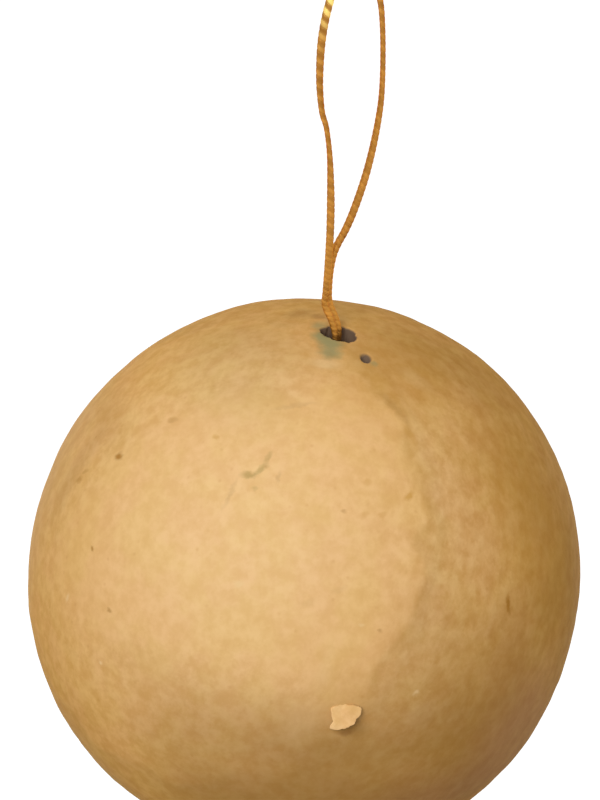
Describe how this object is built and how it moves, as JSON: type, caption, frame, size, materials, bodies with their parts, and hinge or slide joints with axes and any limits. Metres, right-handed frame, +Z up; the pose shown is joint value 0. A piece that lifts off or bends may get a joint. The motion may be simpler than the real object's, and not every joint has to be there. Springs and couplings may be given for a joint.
{
  "type": "hanging paper ball",
  "caption": "Hollow ball of pasted kraft paper pulp that hangs on a knotted loop of twisted gold cord through a torn hole at its top.",
  "frame": {"origin": "the hanging point: the underside of the cord at the top of its loop, straight above the ball's centre", "axes": "+Z up along the line on which the ball hangs, +X along the width of the cord's loop, the pin hole and paper flake towards -Y"},
  "size_m": [0.0796, 0.0806, 0.1339],
  "materials": {
    "kraft_paper": "matte uncoated paper pulp, finely mottled, with a smoother skin on one side",
    "gold_cord": "twisted cord with a metallic gold sheen"
  },
  "bodies": {
    "root": {"ball_shell": "kraft_paper", "hanging_cord": "gold_cord", "cord_knot": "gold_cord"}
  },
  "joints": []
}
